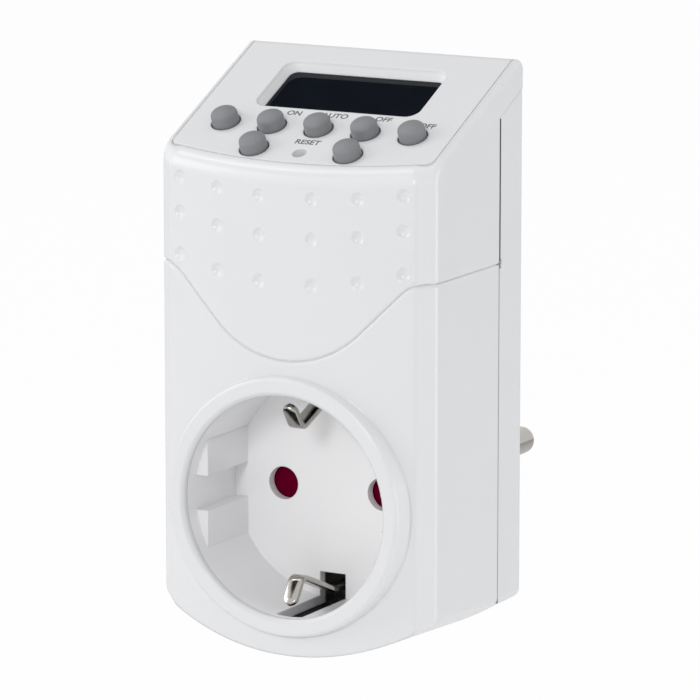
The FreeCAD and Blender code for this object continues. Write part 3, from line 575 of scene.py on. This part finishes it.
# Power board and what is soldered to it. Glass-epoxy board with green solder mask over its copper
# tracks, held by stakes of the rear shell; on it stand the relay, a film capacitor, a sleeved
# aluminium can, a varistor, a fuse and the diodes, each in its own resin or plastic.
BOARD_GREEN = (0.015, 0.11, 0.045, 1)
COPPER_GREEN = (0.03, 0.19, 0.075, 1)
TRACE_PITCH = 2.4 * MM
TRACE_GAP = 0.12
TRACE_DEPTH = 0.03 * MM
RELAY_BLUE = (0.02, 0.05, 0.16, 1)
FILM_YELLOW = (0.55, 0.36, 0.03, 1)
CAN_BLACK = (0.012, 0.013, 0.016, 1)
VARISTOR_BLUE = (0.02, 0.09, 0.28, 1)
VARISTOR_DEPTH = 0.03 * MM
FUSE_BUFF = (0.45, 0.40, 0.30, 1)
RESIN_BLACK = (0.012, 0.012, 0.013, 1)


def board(place):
    """Green solder mask over copper tracks."""
    cells = place.node(
        "ShaderNodeTexVoronoi", {"Vector": place, "Scale": 1 / TRACE_PITCH}, output="Distance",
        feature="DISTANCE_TO_EDGE",
    )
    track = cells > TRACE_GAP
    weave = noise(place, 0.4 * MM)
    return {
        "Base Color": blend(track, BOARD_GREEN, COPPER_GREEN),
        "Roughness": 0.3 + weave * 0.15,
        "Normal": bump(track, TRACE_DEPTH),
    }


dress(finish("solder_mask", {"Coat Roughness": 0.1}, board), "power_board", "control_board")
dress(moulded("relay_case", RELAY_BLUE, 0.3), "relay")
dress(moulded("film_capacitor", FILM_YELLOW, 0.35), "suppression_capacitor")
dress(moulded("capacitor_sleeve", CAN_BLACK, 0.28), "smoothing_capacitor")
dress(moulded("varistor_coat", VARISTOR_BLUE, 0.45, VARISTOR_DEPTH), "varistor")
dress(moulded("fuse_body", FUSE_BUFF, 0.3), "fuse")
dress(moulded("chip_resin", RESIN_BLACK, 0.25), "control_chip", "rectifier_diodes")

# Backup cell, reset switch and ribbon cable of the control board. A plated button cell that keeps
# the time, a small metal switch under the reset plunger, and a flat cable of eight strands, each in
# a grey plastic sleeve, soldered to both boards.
CELL_STEEL = (0.62, 0.62, 0.61, 1)
RIBBON_GREY = (0.32, 0.33, 0.34, 1)
RIBBON_X = -1.4 * MM
RIBBON_STEPS = 24
STRANDS = 8
STRAND_PITCH = 0.75 * MM
STRAND_RADIUS = 0.39 * MM
STRAND_SIDES = 12
RIBBON_LINE = {
    "Low End": (0, -12.65 * MM, 47 * MM),
    "Low Pull": (0, -12.65 * MM, 52 * MM),
    "High Pull": (0, -13.6 * MM, 54 * MM),
    "High End": (0, -12.9 * MM, 58.6 * MM),
}
dress(plated("cell_can", CELL_STEEL, 0.25), "backup_cell")
dress(steel, "reset_switch")
ribbon_sleeve = moulded("ribbon_sleeve", RIBBON_GREY, 0.5)


def ribbon_tree():
    """Round strands side by side along one bent line."""
    tree, given = geometry_tree("ribbon_strands", {
        "Places": "Geometry", "Low End": "Vector", "Low Pull": "Vector", "High Pull": "Vector",
        "High End": "Vector", "Strand Radius": "Float", "Finish": "Material",
    })
    line = given.node("GeometryNodeCurvePrimitiveBezierSegment", {
        "Resolution": RIBBON_STEPS, "Start": given.other("Low End"),
        "Start Handle": given.other("Low Pull"), "End Handle": given.other("High Pull"),
        "End": given.other("High End"),
    })
    strand = swept(line, given.other("Strand Radius"), STRAND_SIDES)
    close_tree(given, placed_at(given, strand))
    return tree


spots = [(RIBBON_X + STRAND_PITCH * (i - (STRANDS - 1) / 2), 0, 0) for i in range(STRANDS)]
ribbon = grown("ribbon_strands", ribbon_tree(), spots, {
    **RIBBON_LINE, "Strand Radius": STRAND_RADIUS, "Finish": ribbon_sleeve,
})
settled("ribbon_strands", ribbon, "case", "ribbon_grey", "ribbon_cable")

# Keys, their mat and the reset plunger. Seven soft grey domes moulded in silicone rubber rise
# through the fascia, each held by a flange under it, over a silicone mat that springs them back.
# The reset plunger is a small plastic pin at the bottom of its hole, its grey darkened as painted
# shade of the hole.
MAT_GREY = (0.30, 0.31, 0.32, 1)
# grey of the reset plunger, darkened further as painted shade at the bottom of its hole
RESET_SHADED_GREY = (0.26, 0.265, 0.28, 1)
KEY_GREY = (0.222, 0.228, 0.238, 1)
KEY_TINTS = (0.95, 1.04)
KEY_PORE = 0.18 * MM
KEY_CLOUD = 2.5 * MM
KEY_DEPTH = 0.006 * MM
KEY_RADIUS = 2.26 * MM
KEY_FOOT = 2.4 * MM
KEY_RISE = 1.9 * MM
KEY_DOME = 0.75 * MM
KEY_SHOULDER = 0.85 * MM
KEY_FLANGE = 2.82 * MM
KEY_FLANGE_TOP = -2.2 * MM
KEY_FLANGE_UNDER = -3.0 * MM
KEY_STEM = 1.6 * MM
KEY_STEM_END = -4.9 * MM
KEY_SIDES = 96
DOME_STEPS = 8
DOME_KEPT = -4
KEY_PITCH = 8.82 * MM
UPPER_ROW = 12.67 * MM
LOWER_ROW = 6.04 * MM


def turned(form, profile):
    """A turned body from its (radius, height) profile, from one end of the axis to the other."""
    angles = [2 * math.pi * i / KEY_SIDES for i in range(KEY_SIDES)]
    rows = []
    for radius, height in profile:
        spots = [(radius * math.cos(a), radius * math.sin(a), height) for a in angles]
        rows.append([form.verts.new(spot) for spot in (spots if radius else [(0, 0, height)])])
    for low, high in zip(rows, rows[1:]):
        for i in range(KEY_SIDES):
            j = (i + 1) % KEY_SIDES
            corners = (low[i % len(low)], low[j % len(low)],
                       high[j % len(high)], high[i % len(high)])
            form.faces.new(list(dict.fromkeys(corners)))


def rubber(place):
    """Matt silicone rubber with fine pores."""
    pores = noise(place, KEY_PORE, 3.0)
    cloud = noise(place, KEY_CLOUD)
    return {
        "Base Color": clouded(cloud, KEY_GREY, KEY_TINTS),
        "Roughness": 0.5 + pores * 0.14,
        "Normal": bump(pores, KEY_DEPTH),
    }


key_rubber = finish("key_rubber", {"Sheen Weight": 0.05, "Sheen Roughness": 0.5}, rubber)


def key_cap(name, x, s):
    """One key, turned about its own axis and set square to the slope."""
    ball = (KEY_RADIUS**2 + KEY_DOME**2) / (2 * KEY_DOME)
    crown = KEY_RISE + KEY_DOME
    dome = []
    for i in range(DOME_STEPS + 1):
        angle = math.asin(KEY_RADIUS / ball) * i / DOME_STEPS
        dome.append((ball * math.sin(angle), crown - ball * (1 - math.cos(angle))))
    skirt = [
        (KEY_FOOT, KEY_FLANGE_TOP),
        (KEY_FLANGE, KEY_FLANGE_TOP),
        (KEY_FLANGE, KEY_FLANGE_UNDER),
        (KEY_STEM, KEY_FLANGE_UNDER),
        (KEY_STEM, KEY_STEM_END),
        (0, KEY_STEM_END),
    ]
    shoulder = rounded([dome[DOME_KEPT], dome[-1], skirt[0]], [KEY_SHOULDER], 10)
    form = bmesh.new()
    turned(form, dome[:DOME_KEPT] + [tuple(point) for point in shoulder[:-1]] + skirt)
    form.transform(panel @ Matrix.Translation((x, s, 0)))
    made(name + "_dome", form, key_rubber, name + "_button", "key_grey", name + "_key")


for column, name in enumerate(("clock", "week", "hour", "minute", "mode")):
    key_cap(name, (column - 2) * KEY_PITCH, UPPER_ROW)
key_cap("timer", -KEY_PITCH, LOWER_ROW)
key_cap("random", KEY_PITCH, LOWER_ROW)
dress(moulded("silicone_mat", MAT_GREY, 0.6), "keypad_mat")
dress(moulded("reset_grey", RESET_SHADED_GREY, 0.4), "reset_plunger")

# Display. A thin dark glass in a black frame with a rubber contact strip, under a glossy navy
# lens that sits just below the window's bevel.
LENS_NAVY = (0.0066, 0.0088, 0.0123, 1)
LENS_TINTS = (0.8, 1.3)
LENS_GLOSS = {"IOR": 1.49, "Specular IOR Level": 0.12}
LENS_FILM = 6 * MM
LENS_DEPTH = 0.002 * MM
DUST_SIZE = 0.3 * MM
DUST_LEVEL = 0.72
GLASS_GREY = (0.05, 0.055, 0.05, 1)
FRAME_BLACK = (0.02, 0.02, 0.021, 1)
ZEBRA_BLACK = (0.03, 0.03, 0.035, 1)


def lens(place):
    """Polished dark plastic with a faint film and a few specks of dust."""
    film = noise(place, LENS_FILM)
    dust = noise(place, DUST_SIZE, 5.0)
    return {
        "Base Color": clouded(film, LENS_NAVY, LENS_TINTS),
        "Roughness": 0.02 + film * 0.02 + (dust > DUST_LEVEL) * 0.05,
        "Normal": bump(film, LENS_DEPTH),
    }


dress(finish("navy_lens", LENS_GLOSS, lens), "display_lens")
dress(moulded("display_glass", GLASS_GREY, 0.08), "display_glass")
dress(moulded("frame_black", FRAME_BLACK, 0.4), "display_frame")
dress(moulded("contact_rubber", ZEBRA_BLACK, 0.6), "zebra_strip")

# Control fascia. Sloping panel of satin white plastic, moulded with the window's bevel and the key
# holes and let into the upper cover, with small legends printed on it in grey ink.
FASCIA_WHITE = (0.775, 0.78, 0.79, 1)
# how much whiter the window's sunk bevel is painted: a painted highlight
BEVEL_HIGHLIGHT_SHARE = 1.16
LEGEND_GREY = (0.11, 0.115, 0.12, 1)
LEGEND_TINTS = (0.8, 1.3)
LEGEND_DEPTH = 0.002 * MM
INK_SPECK = 0.12 * MM
LEGEND_SIZE = 1.75 * MM
LEGEND_HEIGHT = 0.012 * MM
LEGEND_BOLD = 0.035 * MM
LEGENDS = (
    ("ON", -6.55, 16.65),
    ("AUTO", 1.1, 16.75),
    ("OFF", 10.2, 16.8),
    ("OFF", 18.75, 15.95),
    ("RESET", -0.05, 8.7),
)
FASCIA_SUNK = (-0.5 * MM, -0.1 * MM)
FASCIA_EDGE = 0.4 * MM
FASCIA_NORMAL = (0, -math.sin(SLOPE), math.cos(SLOPE))


def fascia(place):
    """Satin white, with a painted highlight that makes the sunk slopes of the window's bevel
    whiter.
    """
    cloud = noise(place, MOULD_CLOUD)
    fine = noise(place, MOULD_GRAIN)
    facing = place.node(
        "ShaderNodeVectorMath", {0: place, 1: FASCIA_NORMAL}, output="Value",
        operation="DOT_PRODUCT",
    )
    level = facing - Vector(PANEL_FRONT).dot(Vector(FASCIA_NORMAL))
    # sunk: where the painted highlight on the window's bevel lies
    sunk = across(level, *FASCIA_SUNK, 1.0, 0.0)
    return {
        "Base Color": blend(sunk, FASCIA_WHITE, shaded(FASCIA_WHITE, BEVEL_HIGHLIGHT_SHARE)),
        "Roughness": 0.33 + (cloud - 0.5) * CLOUD_GLOSS + (fine - 0.5) * GRAIN_GLOSS,
        "Normal": bump(fine, MOULD_DEPTH, soft_edge(place, FASCIA_EDGE)),
    }


dress(finish("satin_white_fascia", PLASTIC_GLOSS, fascia), "control_fascia")


def ink(place):
    """Matt grey ink, a little uneven."""
    speckle = noise(place, INK_SPECK, 3.0)
    return {
        "Base Color": clouded(speckle, LEGEND_GREY, LEGEND_TINTS),
        "Roughness": 0.45 + speckle * 0.2,
        "Normal": bump(speckle, LEGEND_DEPTH),
    }


legend_ink = finish("legend_ink", {"IOR": 1.45}, ink)
for number, (word, x, s) in enumerate(LEGENDS, 1):
    letters = bpy.data.curves.new("letters", "FONT")
    letters.body = word
    letters.size = LEGEND_SIZE
    letters.extrude = LEGEND_HEIGHT
    letters.offset = LEGEND_BOLD
    letters.align_x = "CENTER"
    letters.align_y = "CENTER"
    holder = bpy.data.objects.new("legend", letters)
    bpy.context.scene.collection.objects.link(holder)
    bpy.context.view_layer.update()
    mesh = bpy.data.meshes.new_from_object(holder)
    bpy.data.objects.remove(holder)
    mesh.transform(panel @ Matrix.Translation((x * MM, s * MM, 0)))
    mesh.materials.clear()
    mesh.materials.append(legend_ink)
    piece = bpy.data.objects.new(f"legend_{number}", mesh)
    bpy.context.scene.collection.objects.link(piece)
    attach(piece, "case")

# Front covers. Two mouldings in glossy white plastic that meet along a wavy groove. The upper one
# is dimpled and holds the fascia, and the lower one carries the raised ring round the socket; the
# screws from behind draw both against the rear shell.
COVER_WHITE = (0.76, 0.765, 0.775, 1)
COVER_GLOSS = (0.06, 0.04)
COVER_DEPTH = 0.003 * MM
CORNER_X = (21.9 * MM, 22.9 * MM)
CORNER_DEPTH = -29.5 * MM
CORNER_EDGE = 1.1 * MM
COVER_EDGE = 0.25 * MM
JOINT_EDGE = 0.65 * MM
JOINT_TOP = (39.4 * MM, 39.8 * MM)


def cover(place):
    """Satin white with soft moulded edges, softer along the two corner strips."""
    cloud = noise(place, MOULD_CLOUD)
    fine = noise(place, MOULD_GRAIN)
    parts = place.node("ShaderNodeSeparateXYZ", {0: place})
    near = across(place.maths("ABSOLUTE", parts), *CORNER_X)
    strip = near * (parts.other("Y") < CORNER_DEPTH)
    low = across(parts.other("Z"), *JOINT_TOP, 1.0, 0.0)
    radius = COVER_EDGE + low * (JOINT_EDGE - COVER_EDGE)
    edge = soft_edge(place, radius + strip * (CORNER_EDGE - radius))
    return {
        "Base Color": clouded(cloud, COVER_WHITE),
        "Roughness": 0.22 + (cloud - 0.5) * COVER_GLOSS[0] + (fine - 0.5) * COVER_GLOSS[1],
        "Normal": bump(fine, COVER_DEPTH, edge),
    }


cover_white = finish("satin_white_cover", PLASTIC_GLOSS, cover)
dress(cover_white, "upper_front_cover", "lower_front_cover")

# Joint tongue. A thin lip moulded along the edge of the lower cover, in the same white plastic,
# that reaches behind the upper cover's edge and closes the wavy joint from inside.
TONGUE_DEPTH = 0.6 * MM
TONGUE_RADIUS = 0.25 * MM
TONGUE_CORNER = 0.4
TONGUE_STEPS = 40
CASE_HALF = 25.8 * MM
CASE_FRONT = -35.35 * MM
BOW_RADIUS = 114.0 * MM
STRIP_EDGE = (23.1 * MM, -32.99 * MM)
STRIP_SIDE = -30.79 * MM
SEAM_DEPTH = -8.7 * MM
DIP_HEIGHT = 43.5 * MM
DIP_RADIUS = 19.0 * MM
DIP_END = 13.39 * MM
RISE_START = 20.62 * MM
RISE_RADIUS = 5.5 * MM
RISE_CENTRE = (24.5 * MM, 33.3 * MM)
BEAD_SIDES = 16


def bead_tree():
    """A round bead along the chain of points given."""
    tree, given = geometry_tree("round_bead", {
        "Places": "Geometry", "Bead Radius": "Float", "Finish": "Material",
    })
    line = given.node("GeometryNodeMeshToCurve", {0: given})
    close_tree(given, swept(line, given.other("Bead Radius"), BEAD_SIDES))
    return tree


def bow(x):
    """How far the case's bowed front lies behind its middle."""
    return BOW_RADIUS - math.sqrt(BOW_RADIUS**2 - x**2)


def joint_height(x):
    """Height of the wavy joint: a wide arc in the middle, a straight rise and a small arc."""
    x = abs(x)
    if x <= DIP_END:
        return DIP_HEIGHT - math.sqrt(DIP_RADIUS**2 - x**2)
    if x >= RISE_START:
        return RISE_CENTRE[1] + math.sqrt(RISE_RADIUS**2 - min(x - RISE_CENTRE[0], 0) ** 2)
    share = (x - DIP_END) / (RISE_START - DIP_END)
    return joint_height(DIP_END) * (1 - share) + joint_height(RISE_START) * share


bead = bead_tree()
steps = [STRIP_EDGE[0] * i / TONGUE_STEPS for i in range(TONGUE_STEPS)]
half_plan = [(x, CASE_FRONT + bow(x) + TONGUE_DEPTH) for x in steps] + [
    (STRIP_EDGE[0] - TONGUE_DEPTH * TONGUE_CORNER, STRIP_EDGE[1] + TONGUE_DEPTH),
    (CASE_HALF - TONGUE_DEPTH, STRIP_SIDE + TONGUE_DEPTH * TONGUE_CORNER),
    (CASE_HALF - TONGUE_DEPTH, SEAM_DEPTH - TONGUE_DEPTH),
]
plan = [(-x, y) for x, y in reversed(half_plan[1:])] + half_plan
tongue = grown("joint_tongue", bead, [(x, y, joint_height(x)) for x, y in plan], {
    "Bead Radius": TONGUE_RADIUS, "Finish": cover_white,
}, chained=True)
settled("joint_tongue", tongue, "case", "case_white")

# Fascia filler. A thin white lip of the upper cover under the front and side edges of the fascia,
# moulded with it, that the fascia rests on and that closes the seam round it.
FASCIA_HALF = 24.66 * MM
FASCIA_MIDDLE = 2.63 * MM
FASCIA_CORNER = 1.6 * MM
FILLER_DEPTH = 0.36 * MM
FILLER_RADIUS = 0.16 * MM
FILLER_HALF_STEPS = 20
FILLER_LEFT_END = (-FASCIA_HALF, 37 * MM)
FILLER_RIGHT_END = (FASCIA_HALF, 9 * MM)


def fascia_edge(x):
    """A point on the front edge of the fascia, bowed as the case's front is."""
    return Vector((x, FASCIA_MIDDLE + bow(x) / math.cos(SLOPE)))


steps = [FASCIA_HALF * i / FILLER_HALF_STEPS for i in range(2 * FILLER_HALF_STEPS + 1)]
front = [fascia_edge(step - FASCIA_HALF) for step in steps]
left_corner = rounded([FILLER_LEFT_END, front[0], front[3]], [FASCIA_CORNER])[:-1]
right_corner = rounded([front[-4], front[-1], FILLER_RIGHT_END], [FASCIA_CORNER])[1:]
outline = left_corner + front[3:-3] + right_corner
filler = grown("fascia_filler", bead, [(p.x, p.y, -FILLER_DEPTH) for p in outline], {
    "Bead Radius": FILLER_RADIUS, "Finish": cover_white,
}, chained=True)
filler.transform(panel)
settled("fascia_filler", filler, "case", "fascia_white")

# Side joint shadows. Round dark cords laid in the joint between the covers and the rear shell, on
# both
# sides, as painted shadow of the gap: thick and dark beside the upper cover, thin and grey beside
# the lower one.
# colours of the painted shadow in the side joints: dark beside the upper cover, grey beside the
# lower
JOINT_SHADOW_BLACK = (0.03, 0.03, 0.032, 1)
JOINT_SHADOW_GREY = (0.11, 0.11, 0.113, 1)
CORD_ROUGHNESS = 0.6
CORD_INSET = 0.1 * MM
HIGH_ENDS = ((-8.43, 39.4), (-8.43, 63.1))
LOW_ENDS = ((-8.6, -19.0), (-8.6, 38.2))
high_shadow_paint = moulded("painted_joint_shadow", JOINT_SHADOW_BLACK, CORD_ROUGHNESS)
low_shadow_paint = moulded("thin_painted_joint_shadow", JOINT_SHADOW_GREY, CORD_ROUGHNESS)


def joint_shadow_strip(name, side, cord, radius, proud, ends):
    """A straight dark cord in one side's joint, as painted shadow of the gap; its ends are (y, z)
    in millimetres.
    """
    x = side * (CASE_HALF - CORD_INSET + proud - radius)
    mesh = grown(name, bead, [(x, y * MM, z * MM) for y, z in ends], {
        "Bead Radius": radius, "Finish": cord,
    }, chained=True)
    settled(name, mesh, "case", "frame_black")


for side, word in ((1, "right"), (-1, "left")):
    joint_shadow_strip(word + "_high_joint_shadow", side, high_shadow_paint, 0.6 * MM, 0.075 * MM, HIGH_ENDS)
    joint_shadow_strip(word + "_low_joint_shadow", side, low_shadow_paint, 0.22 * MM, 0.04 * MM, LOW_ENDS)

# Stage. A plain pale floor, a dim white sky and four soft square lamps: in front, on the left, on
# the right and high on the left. Three black cards, seen only in reflections, darken the lens and
# the metal. The camera is where the photograph was taken from.
FLOOR_DROP = 0.12
FLOOR_SIZE = 6.0
FLOOR_WHITE = (0.93, 0.93, 0.93, 1)
FLOOR_GLOW = 0.965
SKY_LIGHT = (0.575, 0.575, 0.58, 1)
CAMERA_TARGET = (3.3 * MM, -19.2 * MM, 24.0 * MM)
CAMERA_AZIMUTH = math.radians(28.926)
CAMERA_ELEVATION = math.radians(10.876)
CAMERA_DISTANCE = 0.8585
CAMERA_LENS = 264.97
CAMERA_SENSOR = 36
CAMERA_NEAR = 0.01
WHITE = (1, 1, 1, 1)
CARD_BLACK = (0.004, 0.004, 0.005, 1)
# Name, azimuth and elevation in degrees, distance and size in metres; the lamps' power in watts.
CARDS = (
    ("lens_card", 231, 52.5, 0.6, 0.62),
    ("clip_card", -43, 47, 0.5, 0.16),
    ("under_card", -72, -60, 0.16, 0.12),
)
LIGHTS = (
    ("front_light", 9.5, 21.5, 1.0, 0.24, 2.35),
    ("left_light", -58, 20, 1.0, 0.5, 1.75),
    ("right_light", 102, -5, 0.6, 0.36, 0.98),
    ("top_light", -85, 62, 1.0, 0.45, 2.15),
)


def seen_white(place, dim):
    """White for what the camera, a mirror or a lens sees, and dim for the light itself."""
    path = place.node("ShaderNodeLightPath", output="Is Camera Ray")
    glossy = place.node("ShaderNodeLightPath", output="Is Glossy Ray")
    through = place.node("ShaderNodeLightPath", output="Is Transmission Ray")
    return blend(path + glossy + through, dim, WHITE)


world = bpy.data.worlds.new("studio")
bpy.context.scene.world = world
air = blank(world)
sky = air.node("ShaderNodeBackground", {"Color": seen_white(air, SKY_LIGHT), "Strength": 1.0})
air.node("ShaderNodeOutputWorld", {"Surface": sky})

floor_paint = bpy.data.materials.new("floor_paint")
ground = blank(floor_paint)
matt = ground.node("ShaderNodeBsdfDiffuse", {"Color": FLOOR_WHITE})
glow = ground.node("ShaderNodeEmission", {"Color": WHITE, "Strength": 1.0})
seen = ground.node("ShaderNodeLightPath", output="Is Camera Ray")
mixed = ground.node("ShaderNodeMixShader", {0: seen * FLOOR_GLOW, 1: matt, 2: glow})
ground.node("ShaderNodeOutputMaterial", {"Surface": mixed})

card_black = bpy.data.materials.new("card_black")
cloth = blank(card_black)
dark = cloth.node("ShaderNodeEmission", {"Color": CARD_BLACK, "Strength": 1.0})
cloth.node("ShaderNodeOutputMaterial", {"Surface": dark})


def sheet(name, size, place, paint):
    """A flat square of the stage."""
    form = bmesh.new()
    bmesh.ops.create_grid(form, x_segments=1, y_segments=1, size=size / 2)
    form.transform(place)
    mesh = bpy.data.meshes.new(name)
    form.to_mesh(mesh)
    form.free()
    mesh.materials.append(paint)
    flat = bpy.data.objects.new(name, mesh)
    bpy.context.scene.collection.objects.link(flat)
    return flat


def placed(azimuth, elevation, distance):
    """Rotation and place of something that looks at the object from an angle."""
    away = Vector((
        math.sin(azimuth) * math.cos(elevation),
        -math.cos(azimuth) * math.cos(elevation),
        math.sin(elevation),
    ))
    turn = Matrix.Rotation(azimuth, 4, "Z") @ Matrix.Rotation(math.pi / 2 - elevation, 4, "X")
    return Matrix.Translation(Vector(CAMERA_TARGET) + away * distance) @ turn


sheet("floor", FLOOR_SIZE, Matrix.Translation((0, 0, cad_box[0][2] - FLOOR_DROP)), floor_paint)
for name, azimuth, elevation, distance, size in CARDS:
    place = placed(math.radians(azimuth), math.radians(elevation), distance)
    card = sheet(name, size, place, card_black)
    card.visible_camera = False
    card.visible_diffuse = False
    card.visible_shadow = False
    card.visible_transmission = False

for name, azimuth, elevation, distance, size, power in LIGHTS:
    lamp = bpy.data.lights.new(name, "AREA")
    lamp.shape = "SQUARE"
    lamp.size = size
    lamp.energy = power
    light = bpy.data.objects.new(name, lamp)
    light.matrix_world = placed(math.radians(azimuth), math.radians(elevation), distance)
    bpy.context.scene.collection.objects.link(light)

view = bpy.data.cameras.new("camera")
view.lens = CAMERA_LENS
view.sensor_width = CAMERA_SENSOR
view.clip_start = CAMERA_NEAR
camera = bpy.data.objects.new("camera", view)
camera.matrix_world = placed(CAMERA_AZIMUTH, CAMERA_ELEVATION, CAMERA_DISTANCE)
bpy.context.scene.collection.objects.link(camera)
bpy.context.scene.camera = camera
bpy.context.scene.view_settings.view_transform = "Standard"
